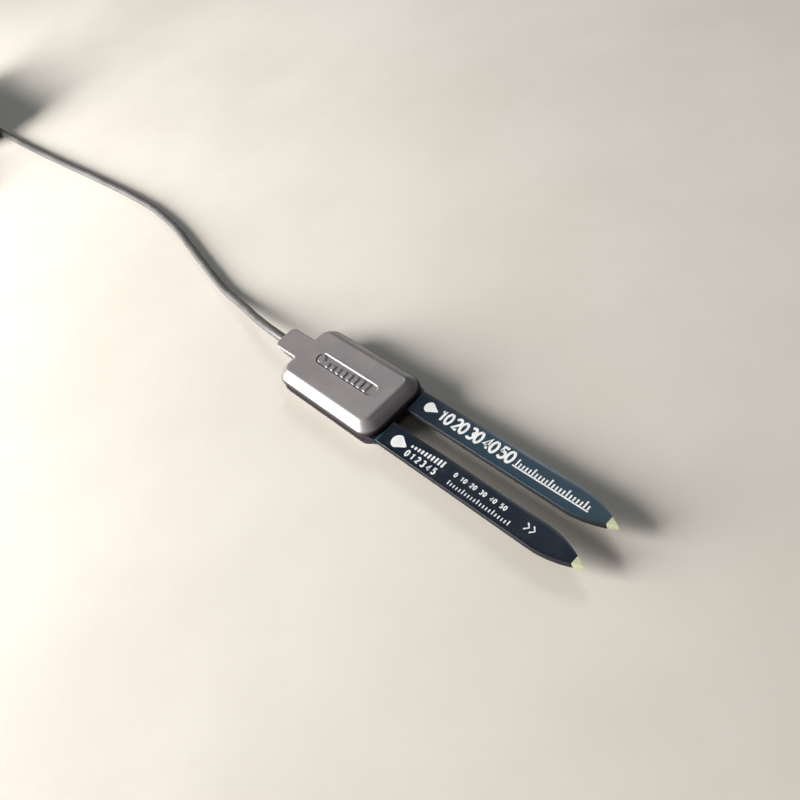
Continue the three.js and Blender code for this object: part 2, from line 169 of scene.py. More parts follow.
def with_tool(piece, tool, operation):
    """Joins or cuts the piece with the tool's closed mesh, for good, and removes the tool."""
    change = piece.modifiers.new(operation, "BOOLEAN")
    change.object, change.operation, change.solver = tool, operation, "EXACT"
    evaluated = piece.evaluated_get(bpy.context.evaluated_depsgraph_get())
    mesh = bpy.data.meshes.new_from_object(evaluated)
    piece.modifiers.clear()
    piece.data = mesh
    bpy.data.objects.remove(tool)


def finish_piece(piece, material, replaces=(), crease=32.0):
    """Smooth faces with sharp edges past the crease angle, a material, and a place in the frame."""
    mesh = piece.data
    mesh.materials.clear()
    mesh.materials.append(material)
    mesh.polygons.foreach_set("use_smooth", np.ones(len(mesh.polygons), bool))
    mesh.polygons.foreach_set("material_index", np.zeros(len(mesh.polygons), np.int32))
    mesh.set_sharp_from_angle(angle=math.radians(crease))
    mesh.update()
    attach(piece, "root")
    if replaces:
        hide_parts(*replaces)
    return piece


def make_piece(name, surface, material, replaces=(), crease=32.0):
    """A finished piece straight from a surface."""
    return finish_piece(bare_object(name, surface), material, replaces, crease)


def smooth_step(low, high, value):
    """0 below low, 1 above high, and 3t^2 - 2t^3 between them."""
    t = np.clip((value - low) / (high - low), 0, 1)
    return t * t * (3 - 2 * t)


def bend(start, corner, end, steps=5):
    """Quadratic arc from start to end, pulled towards the corner."""
    t = np.linspace(0, 1, steps)[:, None]
    start, corner, end = (np.asarray(p, float) for p in (start, corner, end))
    return (1 - t) ** 2 * start + 2 * t * (1 - t) * corner + t**2 * end


def arc(x, y, rx, ry, first, last, steps):
    """Points on an ellipse about (x, y), from the first to the last angle in degrees."""
    angle = np.radians(np.linspace(first, last, steps))
    return np.stack([x + rx * np.cos(angle), y + ry * np.sin(angle)], -1)


def turned(profile, segments=48):
    """Surface of revolution along +X at the plug's axis: profile rows are (distance, radius)."""
    profile = np.asarray(profile, float)
    angle = np.linspace(0, 2 * np.pi, segments, endpoint=False)
    radius = profile[:, 1:]
    x = np.broadcast_to(PLUG_START + profile[:, :1], (len(profile), segments))
    return from_rings(np.stack([x, PLUG_Y + radius * np.cos(angle), PLUG_HEIGHT + radius * np.sin(angle)], -1))


def post(x, y, radius, low, high, segments=24):
    """Upright round post, closed at both ends."""
    angle = np.linspace(0, 2 * np.pi, segments, endpoint=False)
    around = np.stack([np.cos(angle), np.sin(angle)], -1)
    rows = ((0, low), (radius, low), (radius, high), (0, high))
    return from_rings([np.column_stack([(x, y) + r * around, np.full(segments, z)]) for r, z in rows])


# ---- Camera -------------------------------------------------------------------------------------
def make_camera():
    """Looks down on the sensor from past the prongs' tips, with the neck at the far left."""
    right = Vector((0.65357, 0.69364, -0.30284))
    up = Vector((-0.41237, 0.66186, 0.62602))
    back = Vector((0.63466, -0.28427, 0.71861))
    camera = bpy.data.objects.new("camera", bpy.data.cameras.new("camera"))
    turn = Matrix((right, up, back)).transposed()
    camera.matrix_world = Matrix.Translation((0.10189, -0.04668, 0.12928)) @ turn.to_4x4()
    camera.data.sensor_width = 36.0
    camera.data.lens = 38.376
    camera.data.clip_start = 0.005
    bpy.context.scene.collection.objects.link(camera)
    bpy.context.scene.camera = camera


# ---- Cable --------------------------------------------------------------------------------------
def through(points, spacing):
    """Centripetal Catmull-Rom curve through the points, sampled about every spacing millimetres.

    Each stretch between two points is a cubic whose end slopes follow from the neighbouring
    points' distances to the power of one half."""
    p = np.asarray(points, float)
    p = np.concatenate([[2 * p[0] - p[1]], p, [2 * p[-1] - p[-2]]])
    step = np.linalg.norm(np.diff(p, axis=0), axis=1) ** 0.5
    before, here, after = step[:-2, None], step[1:-1, None], step[2:, None]
    a, b, c, d = p[:-3], p[1:-2], p[2:-1], p[3:]
    slope_b = ((b - a) / before - (c - a) / (before + here) + (c - b) / here) * here
    slope_c = ((c - b) / here - (d - b) / (here + after) + (d - c) / after) * here
    count = np.maximum(1, np.round(here[:, 0] ** 2 / spacing).astype(int))
    stretch = np.repeat(np.arange(len(b)), count)
    t = ((np.arange(len(stretch)) - np.repeat(np.cumsum(count) - count, count)) / count[stretch])[:, None]
    b, c, slope_b, slope_c = b[stretch], c[stretch], slope_b[stretch], slope_c[stretch]
    curve = (
        (2 * t**3 - 3 * t**2 + 1) * b + (t**3 - 2 * t**2 + t) * slope_b
        + (3 * t**2 - 2 * t**3) * c + (t**3 - t**2) * slope_c
    )
    return np.concatenate([curve, p[-2:-1]])


def round_hank(share, radius):
    """Points on a turn with straight runs and round ends, at this share of the way round.

    A turn starts where the lead arrives, runs along the far side, round the far end, back along
    the plug's side and round the near end. radius is its distance from the hank's middle line."""
    mean = (HANK_INNER + HANK_OUTER) / 2
    run = HANK_RUN / (2 * HANK_RUN + 2 * np.pi * mean)
    share = share % 1.0
    first = np.clip(share / run, 0, 1)
    far = np.clip((share - run) / (0.5 - run), 0, 1)
    second = np.clip((share - 0.5) / run, 0, 1)
    near = np.clip((share - 0.5 - run) / (0.5 - run), 0, 1)
    angle = np.pi * (0.5 + far + near)
    x = HANK_END[0] - HANK_RUN * (first - second) + radius * np.cos(angle)
    return np.stack([x, HANK_END[1] + radius * np.sin(angle)], -1)


def hank_route():
    """The folded part of the cable: four turns side by side, layer on layer.

    Each turn keeps its own radius and height for most of its way, and steps to the next turn's
    while it goes round the near end. Even layers step inwards and odd layers outwards. The last
    turn leaves along the far side and swings out to where the tail goes down."""
    steps_a_turn = 36
    whole = HANK_WIDE * HANK_LAYERS - 1
    turns = np.arange(0, whole + 0.285, 1 / steps_a_turn)
    number, share = np.floor(turns), turns % 1.0

    def place(n):
        layer = n // HANK_WIDE
        k = n % HANK_WIDE
        inwards = np.where(layer % 2 == 0, k, HANK_WIDE - 1 - k)
        return HANK_OUTER - (HANK_OUTER - HANK_INNER) * inwards / (HANK_WIDE - 1), layer

    (radius, layer), (next_radius, next_layer) = place(number), place(number + 1)
    change = smooth_step(0.76, 0.98, share)
    radius = radius + (next_radius - radius) * change
    radius += (TAIL_RADIUS - HANK_OUTER) * smooth_step(whole + 0.17, whole + 0.285, turns)
    height = HANK_BOTTOM + HANK_PITCH * (0.5 + layer + (next_layer - layer) * change)
    return np.column_stack([round_hank(share, radius), height])


def tail_route():
    """Down the outside of the hank, from its top layer to the plug's height."""
    ends = np.pi * TAIL_RADIUS
    share = np.linspace(0, 1, 17)[:, None]
    gone = share * (ends + HANK_RUN)
    angle = np.pi / 2 + np.minimum(gone, ends) / TAIL_RADIUS
    x = HANK_END[0] - HANK_RUN + TAIL_RADIUS * np.cos(angle) + np.maximum(0, gone - ends)
    top = HANK_TOP - HANK_PITCH / 2
    z = top + (PLUG_HEIGHT - top) * smooth_step(0, 1, share)
    down = np.column_stack([x, HANK_END[1] + TAIL_RADIUS * np.sin(angle), z])
    return np.concatenate([down[1:], [(PLUG_START - 0.3, PLUG_Y, PLUG_HEIGHT)]])


def swept(path, profile):
    """A closed profile carried along a path whose direction is never upright.

    The profile's first coordinate points sideways, level with the floor, and its second upwards."""
    path, profile = np.asarray(path, float), np.asarray(profile, float)
    ahead = np.gradient(path, axis=0)
    side = np.cross(ahead, (0, 0, 1))
    side /= np.linalg.norm(side, axis=1, keepdims=True)
    up = np.cross(side, ahead)
    up /= np.linalg.norm(up, axis=1, keepdims=True)
    return path[:, None] + profile[None, :, :1] * side[:, None] + profile[None, :, 1:] * up[:, None]


def closed_ends(rings):
    """Adds each end ring's middle as a ring of its own, so that the ends are closed."""
    first, last = rings[:1].mean(1, keepdims=True), rings[-1:].mean(1, keepdims=True)
    shape = (1,) + rings.shape[1:]
    return np.concatenate([np.broadcast_to(first, shape), rings, np.broadcast_to(last, shape)])


def make_cable(material):
    """A round cord from inside the neck, along the floor, through the hank and into the boot."""
    route = np.concatenate([LEAD_ROUTE, hank_route(), tail_route()])
    path = through(route, 1.5)
    rings = swept(path, arc(0, 0, CABLE_RADIUS, CABLE_RADIUS, 0, 337.5, 16))
    replaced = ("cable_lead", "cable_coil", "cable_tail")
    cable = make_piece("cable", from_rings(closed_ends(rings)), material, replaced, 60)


# ---- Housing ------------------------------------------------------------------------------------
def half_outline(setback, neck):
    """Half of the housing's outline at one level, from the middle of the front to the neck's end.

    setback is 0 at the rim and 1 at the flat face. The corner radius shrinks with it. neck is
    (end, half width, corner radius, inner fillet), or None where the outline has no neck."""
    front = -FACE_FRONT_SETBACK * setback
    rear = -SHELL_LENGTH + FACE_REAR_SETBACK * setback
    half = SHELL_HALF_WIDTH - FACE_SIDE_SETBACK * setback
    radius = RIM_RADIUS + (FACE_RADIUS - RIM_RADIUS) * setback
    end, width, corner, fillet = neck or (rear, NECK_HALF_WIDTH - 0.6, 0.0, 0.0)
    across = np.linspace(0, 1, 12, endpoint=False)[:, None]
    along = np.linspace(0, 1, 40, endpoint=False)[:, None]
    short = np.linspace(0, 1, 8, endpoint=False)[:, None]

    def line(start, stop, t):
        return np.array(start) + t * (np.array(stop) - np.array(start))

    return np.concatenate([
        line((front, 0), (front, half - radius), across),
        arc(front - radius, half - radius, radius, radius, 0, 90, 13)[:-1],
        line((front - radius, half), (rear + radius, half), along),
        arc(rear + radius, half - radius, radius, radius, 90, 180, 13)[:-1],
        line((rear, half - radius), (rear, width + fillet), short),
        arc(rear - fillet, width + fillet, fillet, fillet, 0, -90, 6)[:-1],
        line((rear - fillet, width), (end + corner, width), across),
        arc(end + corner, width - corner, corner, corner, 90, 180, 9)[:-1],
        line((end, width - corner), (end, 0), short),
        [(end, 0.0)],
    ])


def inner_line(ring, rear=-26, front=-6):
    """Presses a ring flat onto the middle line between two stations, which closes the surface."""
    return np.clip(ring, (rear, 0, -9), (front, 0, 9))


def whole_ring(half, height):
    """Mirrors the half outline and gives every point the same height."""
    around = np.concatenate([half, (half * (1, -1))[-2:0:-1]])
    return np.column_stack([around, np.broadcast_to(height, len(around))])


def bevel_profile():
    """(setback, height) from the rim's lower edge up to the flat face.

    An upright rim, a rounded edge, a bevel that swells by a tenth of a millimetre, and a second
    rounded edge into the face."""
    rise = FACE_HEIGHT - RIM_HEIGHT
    low, high = 0.15, 0.86
    t = np.linspace(0, 1, 7)[1:-1]
    along = low + (high - low) * t
    slope = np.stack([along, RIM_HEIGHT + rise * along + 0.1 * np.sin(np.pi * t)], -1)
    return np.concatenate([
        [(0.05, BOARD_HALF), (0.0, BOARD_HALF + 0.1)],
        bend((0, RIM_HEIGHT - 0.3), (0, RIM_HEIGHT), (low, RIM_HEIGHT + rise * low), 6),
        slope,
        bend((high, RIM_HEIGHT + rise * high), (0.99, FACE_HEIGHT), (1.17, FACE_HEIGHT), 7),
    ])


def upper_neck(height):
    """The neck's outline at one height: wider upwards, with a rounded upper edge."""
    edge = 0.4
    over = max(0.0, height - (FACE_HEIGHT - edge))
    rounding = edge - math.sqrt(edge**2 - min(over, edge) ** 2)
    drop = FACE_HEIGHT - height
    half_width = NECK_HALF_WIDTH - NECK_TAPER * drop - rounding
    return (NECK_END + 0.07 * drop + rounding, half_width, NECK_RADIUS, 0.35)


def badge_height(x, y):
    """How far the housing's top stands below or above the face inside the mark.

    A long recess with a raised bead round it, a raised drop in its round rear end, and a row of
    raised bars that grow towards the front. Edges are smooth steps 0.12 wide."""
    rear, front = BADGE_ENDS
    out = np.hypot(x - np.clip(x, rear, front), y - BADGE_Y) - BADGE_HALF_WIDTH
    edge = 0.12
    height = -BADGE_DEPTH * smooth_step(edge, -edge, out + 0.3)
    height += 0.04 * smooth_step(edge, -edge, np.abs(out + 0.12) - 0.03)
    dx, dy = x - (rear - 0.15), y - BADGE_Y
    point = np.clip((dx + 0.2) / 1.45, 0, 1)
    drop = np.hypot(np.minimum(dx, 0) * 1.05, dy) - 1.05 * (1 - point**1.6)
    height += 0.24 * smooth_step(edge, -edge, np.where(dx > 1.3, 1.0, drop))
    first, pitch, count = rear + 2.6, 1.82, 8
    number = np.clip(np.round((x - first) / pitch), 0, count - 1)
    along = np.abs(x - first - number * pitch) - 0.5
    tall = 0.55 + 0.55 * number / (count - 1)
    across = np.abs(y - (BADGE_Y - 1.15 + tall)) - tall
    corner = np.hypot(np.maximum(along + 0.2, 0), np.maximum(across + 0.2, 0)) - 0.2
    return height + 0.24 * smooth_step(edge, -edge, corner)


def badge_rings(start):
    """From the ring round the flat face in to the mark's spine, following badge_height.

    A point goes to the place on the mark's edge that lies at the same share of its own half."""
    rear, front = BADGE_ENDS
    count = len(start) // 2 + 1
    half = np.linspace(0, 1, count)
    run = front - rear
    bend_length = BADGE_HALF_WIDTH * np.pi / 2
    reach = half * (run + 2 * bend_length)
    straight = np.clip(reach - bend_length, 0, run)
    quarters = np.clip(reach / bend_length, 0, 1) + np.clip((reach - bend_length - run) / bend_length, 0, 1)
    angle = np.pi / 2 * quarters
    spine = np.stack([front - straight, np.zeros(count)], -1)
    around = np.stack([np.cos(angle), np.sin(angle)], -1)

    def ring(distance):
        upper = spine + distance * around
        both = np.concatenate([upper, (upper * (1, -1))[-2:0:-1]])
        x, y = both[:, 0], both[:, 1] + BADGE_Y
        return np.column_stack([x, y, FACE_HEIGHT + badge_height(x, y)])

    outer = ring(BADGE_HALF_WIDTH + 0.02)
    blend = [start + (outer - start) * t for t in (0.04, 0.35, 0.7)]
    return blend + [ring(d) for d in np.linspace(BADGE_HALF_WIDTH + 0.02, 0, 38)]


def cavity_rings(side):
    """The hollow's wall and ceiling, from the rim inwards; side is 1 for the upper half."""
    inset = WALL / FACE_SIDE_SETBACK
    steps = ((inset, BOARD_HALF), (inset, RIM_HEIGHT - 0.3), (1 + inset * 0.6, CEILING))
    rings = [whole_ring(half_outline(setback, None), side * height) for setback, height in steps]
    return rings + [inner_line(rings[-1])]


def bore():
    """The round way for the cable through the neck."""
    angle = np.linspace(0, 2 * np.pi, 40, endpoint=False)
    around = np.stack([np.cos(angle), np.sin(angle)], -1)
    rows = ((-39.6, 0), (-39.6, BORE_RADIUS), (-31.4, BORE_RADIUS), (-31.4, 0))
    rings = [np.column_stack([np.full(len(angle), x), (0, CABLE_HEIGHT) + r * around]) for x, r in rows]
    return bare_object("bore", from_rings(rings))


def make_upper_shell(material):
    """The face with its mark, bevels, rim and neck, then the hollow inside, less the cable's way."""
    profile = bevel_profile()
    rings = [whole_ring(half_outline(setback, upper_neck(height)), height) for setback, height in profile]
    rings += badge_rings(rings[-1])
    surface = from_rings(np.array(rings[::-1] + cavity_rings(1)))
    shell = bare_object("upper_housing", surface)
    with_tool(shell, bore(), "DIFFERENCE")
    return finish_piece(shell, material, ("upper_shell",), 40)


def lower_neck_block():
    """The lower half of the neck: rounded rectangles that shrink downwards."""
    levels = (
        (NECK_END + 0.2, 2.56, BOARD_HALF), (NECK_END + 0.5, 2.15, -BOARD_HALF),
        (NECK_END + 1.3, 1.5, -RIM_HEIGHT),
    )
    rings = []
    for end, half, height in levels:
        radius = min(NECK_RADIUS, half - 0.05)
        outline = np.concatenate([
            [(-32.4, half)], arc(end + radius, half - radius, radius, radius, 90, 180, 9),
            arc(end + radius, radius - half, radius, radius, 180, 270, 9), [(-32.4, -half)],
        ])
        rings.append(np.column_stack([outline, np.full(len(outline), height)]))
    ends = [inner_line(rings[i], -37, -33) for i in (0, -1)]
    return bare_object("neck_block", from_rings(np.array([ends[0]] + rings + [ends[1]])))


def make_lower_shell(material):
    """The bevels turned over, with the neck's lower half and the pegs, less the cable's way."""
    profile = bevel_profile() * (1, -1)
    rings = [whole_ring(half_outline(setback, None), height) for setback, height in profile]
    rings += [inner_line(rings[-1])]
    shell = bare_object("lower_housing", from_rings(np.array(rings[::-1] + cavity_rings(-1))))
    with_tool(shell, lower_neck_block(), "UNION")
    with_tool(shell, bore(), "DIFFERENCE")
    pegs = bare_object("pegs", joined(*[post(x, y, 0.7, -CEILING - 0.3, 2.1) for x, y in PEGS]))
    with_tool(shell, pegs, "UNION")
    return finish_piece(shell, material, ("lower_shell",), 40)


# ---- Board --------------------------------------------------------------------------------------
def prong_edges(x):
    """Distance of a prong's inner and outer edge from the middle line, at each x.

    Straight at full width, with an arc of 0.7 inside the root and a soft shoulder outside it. Past
    the start of the point, the half width shrinks by the share of the way to the tip, to the power
    POINT_POWER."""
    t = np.clip((x - POINT_START) / (PRONG_TIP - POINT_START), 0, 1)
    half = PRONG_HALF_WIDTH * (1 - t**POINT_POWER) + 0.02
    fillet = 0.7
    inside = np.clip(fillet - (x + 0.35), 0, fillet)
    root = fillet - np.sqrt(fillet**2 - inside**2)
    outer = PRONG_CENTRE + PRONG_HALF_WIDTH
    shoulder = bend((-3.9, 8.2), (-1.6, 8.2), (0.35, outer), 30)
    flare = np.interp(x, shoulder[:, 0], shoulder[:, 1], right=outer) - outer
    return PRONG_CENTRE - half - root, PRONG_CENTRE + half + flare


def slab_sections(x, low, high):
    """Upright sections of the board between two edges at each x, with corners rounded by 0.07.

    A section point is a share of the way between the edges, plus the corner's arc, and the upper
    half is mirrored below."""
    share = np.concatenate([np.ones(4), np.linspace(1, 0, 8)[1:-1], np.zeros(4)])
    arch = arc(0, 0, 1, 1, 0, 90, 4) - 1
    inward = np.concatenate([arch[:, 0], np.full(6, 0.0), -arch[::-1, 0]])
    drop = np.concatenate([arch[:, 1], np.zeros(6), arch[::-1, 1]])
    low, high = low[:, None], high[:, None]
    r = np.minimum(0.07, 0.45 * (high - low))
    y = low + share * (high - low) + r * inward
    z = np.broadcast_to(BOARD_HALF + 0.07 * drop, y.shape)
    upper = np.stack([np.broadcast_to(x[:, None], y.shape), y, z], -1)
    return np.concatenate([upper, (upper * (1, 1, -1))[:, ::-1]], 1)


def prong(side):
    """A board section carried along x from inside the housing to the tip."""
    x = np.concatenate([
        [-6.0, -3.9], np.linspace(-0.35, 0.5, 12), np.arange(2.5, POINT_START, 2.0),
        np.linspace(POINT_START, PRONG_TIP - 0.3, 26), PRONG_TIP - np.geomspace(0.25, 0.01, 6), [PRONG_TIP],
    ])
    return from_rings(closed_ends(slab_sections(x, *prong_edges(x)) * (1, side, 1)))


def rear_plate():
    """The wide part of the board, clamped between the shells: a slab with rounded corners."""
    half = half_outline(0, None)
    from_middle = half - (-SHELL_LENGTH / 2, 0)
    inset = half - np.sign(from_middle) * 0.35 * (np.abs(from_middle) > 1e-6)
    lower, upper = (whole_ring(inset, z) for z in (-BOARD_HALF, BOARD_HALF))
    return from_rings(np.array([inner_line(lower), lower, upper, inner_line(upper)]))


def make_board(material):
    surface = joined(rear_plate(), prong(1), prong(-1))
    make_piece("fork_board", surface, material, ("circuit_board",), 25)


# ---- Print --------------------------------------------------------------------------------------
def stroke(points, width, height=INK_HEIGHT):
    """A flat ribbon with round ends along a line of points, a few hundredths thick.

    Its half width grows from each end as the sine of a quarter turn, and is even between."""
    line = np.asarray(points, float)
    gone = np.concatenate([[0], np.cumsum(np.linalg.norm(np.diff(line, axis=0), axis=1))])
    r = width / 2
    turn = np.radians((0, 25, 50, 75, 90))
    ends = r * (1 - np.cos(turn)) * 0.5
    inner = gone[(gone > r * 0.6) & (gone < gone[-1] - r * 0.6)]
    at = np.concatenate([ends, inner, gone[-1] - ends[::-1]])
    wide = np.concatenate([np.sin(turn), np.ones(len(inner)), np.sin(turn)[::-1]]) * r + 0.004
    path = np.stack([np.interp(at, gone, line[:, k]) for k in (0, 1)], -1)
    ahead = np.gradient(path, axis=0)
    side = np.stack([-ahead[:, 1], ahead[:, 0]], -1)
    side /= np.linalg.norm(side, axis=1, keepdims=True) + 1e-12
    left, right = path + side * wide[:, None], path - side * wide[:, None]
    low, high = INK_ROOT, BOARD_HALF + height

    def lift(flat, z):
        return np.column_stack([flat, np.full(len(flat), z)])

    rings = np.stack([lift(left, high), lift(right, high), lift(right, low), lift(left, low)], 1)
    return from_rings(closed_ends(rings))


def patch(outline):
    """A filled flat shape: its outline, and the same outline shrunk to its middle."""
    outline = np.asarray(outline, float)
    middle = outline.mean(0)
    top = BOARD_HALF + INK_HEIGHT
    rows = ((0, top), (1, top), (1, INK_ROOT), (0, INK_ROOT))
    rings = [np.column_stack([middle + (outline - middle) * k, np.full(len(outline), z)]) for k, z in rows]
    return from_rings(np.array(rings))


def numeral(digit):
    """Lines of a plain numeral from 0 to 5, in a box 0.6 wide and 1 high."""
    shapes = {
        "0": [arc(0.3, 0.5, 0.28, 0.5, 90, 450, 28)],
        "1": [[(0.1, 0.76), (0.36, 1), (0.36, 0)]],
        "2": [np.concatenate([arc(0.3, 0.71, 0.27, 0.29, 165, -35, 14), [(0.04, 0), (0.58, 0)]])],
        "3": [arc(0.28, 0.76, 0.25, 0.24, 150, -90, 14), arc(0.28, 0.26, 0.29, 0.26, 90, -150, 14)],
        "4": [[(0.46, 0), (0.46, 1), (0.02, 0.3), (0.62, 0.3)]],
        "5": [np.concatenate([
            [(0.54, 1), (0.1, 1), (0.07, 0.55)], arc(0.28, 0.31, 0.29, 0.31, 115, -150, 15),
        ])],
    }
    return shapes[digit]


def numerals(text, x, y, size, width, pitch):
    """A row of numerals that starts at x, with its feet on y. A space leaves one place empty.

    Strokes that cross differ in height by a thousandth, so that their faces don't coincide."""
    made = []
    for place, digit in enumerate(text):
        if digit != " ":
            for line in numeral(digit):
                spot = np.asarray(line) * size + (x + place * pitch, y)
                made.append(stroke(spot, width, INK_HEIGHT + 0.001 * (len(made) % 5)))
    return made


def ticks(xs, y, lengths, width):
    """Short lines across the prong, each starting at y."""
    return [stroke([(x, y), (x, y + length / 2), (x, y + length)], width) for x, length in zip(xs, lengths)]


def drop_outline(x, y, radius, length, steps=36):
    """A water drop with its point towards the prong's tip: round behind, and drawn to a point."""
    angle = np.linspace(0, 2 * np.pi, steps, endpoint=False)
    point = np.maximum(np.cos(angle), 0)
    along = radius * np.cos(angle) + (length - radius) * point**3
    across = radius * np.sin(angle) * (1 - 0.5 * point**1.5)
    return np.stack([x + along, y + across], -1)


def upper_print():
    """A level scale in bold numerals, and a fine ruler beside the point."""
    made = [patch(drop_outline(4.2, 4.85, 1.25, 2.3))]
    for number, x in zip(("10", "20", "30", "40", "50"), np.arange(7.3, 26, 4.05)):
        made += numerals(number, x, 3.62, 2.45, 0.58, 1.78)
    xs = np.arange(28.0, 44.6, 0.78)
    made += ticks(xs, 3.95, np.where(np.arange(len(xs)) % 5 == 0, 1.55, 0.95), 0.34)
    made.append(stroke([(27.4, 3.75), (36, 3.75), (44.8, 3.75)], 0.26, 0.034))
    return made


def lower_print():
    """A drop with bars beside it, two rows of small numerals, and a pair of arrow heads."""
    made = [patch(drop_outline(4.7, -4.85, 1.5, 2.5))]
    xs = np.arange(8.2, 16.8, 0.92)
    made += ticks(xs, -4.35, 0.6 + 0.9 * np.linspace(0, 1, len(xs)), 0.5)
    made += numerals("012345", 8.1, -6.35, 1.25, 0.36, 1.5)
    made += numerals("0 10 20 30 40 50", 19.9, -4.35, 0.85, 0.24, 0.83)
    made += ticks(np.arange(20.1, 35.8, 0.75), -6.35, np.where(np.arange(21) % 5 == 0, 1.0, 0.7), 0.26)
    for x in (37.9, 39.2):
        made.append(stroke([(x, -5.2), (x + 0.75, -4.45), (x, -3.7)], 0.3))
    return made


def make_print(material):
    make_piece("upper_prong_print", joined(*upper_print()), material)
    make_piece("lower_prong_print", joined(*lower_print()), material)


# ---- Tie and plug -------------------------------------------------------------------------------
def strap_loop(grow, first, last, steps=140):
    """Rounded rectangle round the hank's section, as (y, z), counted from its upper far corner.

    first and last are shares of the way round, and grow widens it all round."""
    y0 = HANK_END[1] - TAIL_RADIUS - CABLE_RADIUS - TIE_GAP - grow
    y1 = HANK_END[1] + HANK_OUTER + CABLE_RADIUS + TIE_GAP + grow
    z0, z1 = HANK_BOTTOM - TIE_RISE - grow, HANK_TOP + TIE_RISE + grow
    r = 1.1 + grow
    corners = ((y1 - r, z1 - r, 0), (y0 + r, z1 - r, 90), (y0 + r, z0 + r, 180), (y1 - r, z0 + r, 270))
    loop = np.concatenate([arc(y, z, r, r, turn, turn + 90, 9) for y, z, turn in corners])
    loop = np.concatenate([loop, loop[:1]])
    gone = np.concatenate([[0], np.cumsum(np.linalg.norm(np.diff(loop, axis=0), axis=1))])
    at = np.linspace(first, last, steps) % 1.0 * gone[-1]
    return np.stack([np.interp(at, gone, loop[:, k]) for k in (0, 1)], -1)


def strap(first, last, grow, width, thickness):
    """A flat strap section with round edges, carried round the hank at the middle of its runs."""
    loop = strap_loop(grow, first, last)
    ahead = np.gradient(loop, axis=0)
    out = np.stack([ahead[:, 1], -ahead[:, 0]], -1)
    out /= np.linalg.norm(out, axis=1, keepdims=True)
    edge = arc(0, 0, thickness / 2, thickness / 2, -90, 90, 5)
    section = np.concatenate([edge + (width / 2 - thickness / 2, 0), -edge + (thickness / 2 - width / 2, 0)])
    middle = HANK_END[0] - HANK_RUN / 2
    x = np.broadcast_to(middle + section[None, :, 0], (len(loop), len(section)))
    flat = loop[:, None] + out[:, None] * section[None, :, 1:]
    return np.concatenate([x[..., None], flat], -1)


def make_tie(material):
    """The strap goes once round, and its narrower end lies on itself over the top of the hank."""
    loop = from_rings(strap(0.0, 0.998, 0.0, TIE_WIDTH, TIE_THICKNESS), closed_rows=True)
    lap = from_rings(closed_ends(strap(0.02, 0.3, TIE_THICKNESS + 0.04, TIE_WIDTH - 0.4, TIE_THICKNESS)))
    return make_piece("coil_strap", joined(loop, lap), material, ("coil_tie",), 50)


def boot_profile():
    """A slender boot with ribs: the radius grows evenly, and dips at each groove."""
    x = np.linspace(0.15, 10.85, 90)
    groove = smooth_step(0.35, 0.75, np.abs((x / 1.5) % 1 - 0.5) * 2) * (x > 1.2) * (x < 9.6)
    radius = 1.62 + 0.088 * x - 0.28 * (1 - groove) * (x > 1.2) * (x < 9.6)
    return np.concatenate([[(0, 0), (0, 1.45)], np.stack([x, radius], -1), [(11, 2.45), (11, 0)]])


def handle_profile():
    """A barrel handle: a rounded rear shoulder, a waist with fine grip rings and a rounded nose."""
    x = np.linspace(3.6, 14.4, 110)
    ring = 0.14 * smooth_step(0.2, 0.8, np.abs((x / 0.9) % 1 - 0.5) * 2)
    waist = 0.28 * np.sin(np.pi * (x - 3.6) / 10.8) ** 2
    grip = np.stack([x, 4.28 - waist - ring * (x > 4.4) * (x < 13.6)], -1)
    rear = bend((0, 3.1), (0, 4.0), (3.4, 4.26), 8)
    nose = bend((14.6, 4.26), (18.2, 4.1), (18.5, 3.2), 8)
    return np.concatenate([[(0, 0)], rear, grip, nose, [(18.5, 0)]])


def tip_profile():
    """The plug's tip: a neck behind a rounded head."""
    head = bend((1.5, 1.72), (3.2, 1.72), (3.86, 0.4), 9)
    neck = bend((0.9, 1.25), (1.2, 1.6), (1.5, 1.72), 5)
    return np.concatenate([[(0, 0), (0, 1.28), (0.75, 1.2)], neck, head, [(3.9, 0)]])


def make_plug(body, contact, insulator):
    """The plug's seven turned pieces, each at its own station along the axis."""
    collar = [(0, 0), (0, 2.78), (0.12, 2.9), (0.68, 2.9), (0.8, 2.8)]
    sleeve = collar + [(0.8, 1.75), (7.5, 1.75), (7.6, 1.66), (7.6, 0)]
    band = [(0, 0), (0, 1.62), (0.08, 1.74), (2.22, 1.74), (2.3, 1.62), (2.3, 0)]
    washer = [(0, 0), (0, 1.6), (0.08, 1.68), (0.62, 1.68), (0.7, 1.6), (0.7, 0)]
    stations = (
        ("plug_boot", 0, boot_profile(), body, "plug_body"),
        ("plug_handle", 11.3, handle_profile(), body, "plug_body"),
        ("plug_sleeve", 29.8, sleeve, contact, "contact"),
        ("plug_ring_insulator", 37.4, washer, insulator, "insulator"),
        ("plug_ring", 38.1, band, contact, "contact"),
        ("plug_tip_insulator", 40.4, washer, insulator, "insulator"),
        ("plug_tip", 41.1, tip_profile(), contact, "contact"),
    )
    return [
        make_piece("turned_" + node, turned(np.asarray(profile) + (station, 0)), material, (node,), 40)
        for node, station, profile, material, slot in stations
    ]


